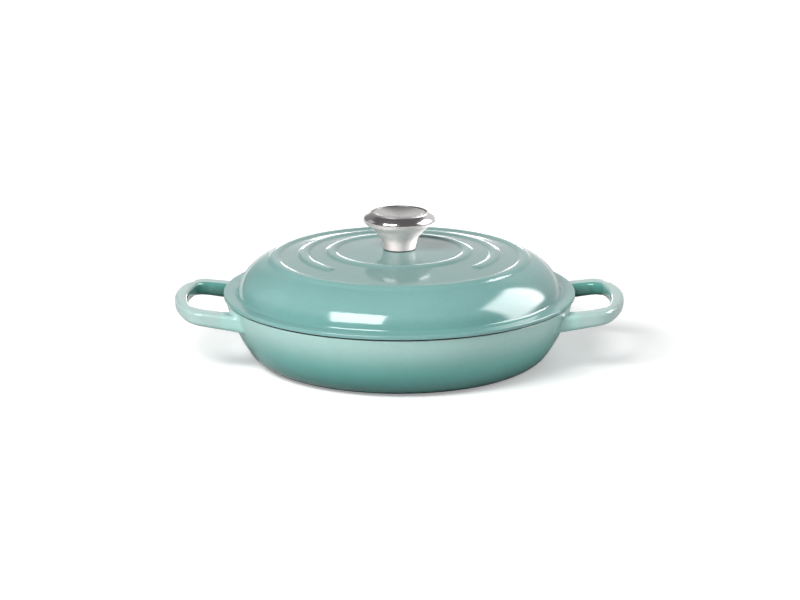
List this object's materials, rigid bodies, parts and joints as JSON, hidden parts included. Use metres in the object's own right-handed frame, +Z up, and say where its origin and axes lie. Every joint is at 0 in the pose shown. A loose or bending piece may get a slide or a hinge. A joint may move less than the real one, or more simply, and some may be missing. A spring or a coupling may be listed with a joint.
{
  "type": "braiser",
  "caption": "Shallow round enamelled cast-iron braiser with loop handles and a domed lift-off lid that carries a hollow steel knob.",
  "frame": {"origin": "centre of the pot's foot, on the surface that it stands on", "axes": "+X along the line through both loop handles, +Z up, -Y towards the front, where the lid's middle ridge is open"},
  "size_m": [0.3486, 0.273, 0.1163],
  "materials": {
    "pot_enamel": "gloss vitreous enamel over cast iron, pale green outside and cream inside, matt black rim",
    "lid_enamel": "gloss vitreous enamel over cast iron, grey green outside and cream inside, matt black seat",
    "knob_steel": "stainless steel, polished head and finely brushed neck",
    "dish_steel": "stainless steel, circular brushed",
    "plate_steel": "plain stainless steel",
    "screw_steel": "stainless steel with turned marks"
  },
  "bodies": {
    "pot": {"pot": "pot_enamel"},
    "lid": {"lid": "lid_enamel", "knob_shell": "knob_steel", "knob_dish": "dish_steel", "knob_base_plate": "plate_steel", "knob_insert": "plate_steel", "knob_screw": "screw_steel", "split_washer": "screw_steel"}
  },
  "joints": [
    {"name": "lid_lift", "type": "slide", "parent": "pot", "child": "lid", "axis": [0, 0, 1], "range_m": [0, 0.15]}
  ]
}
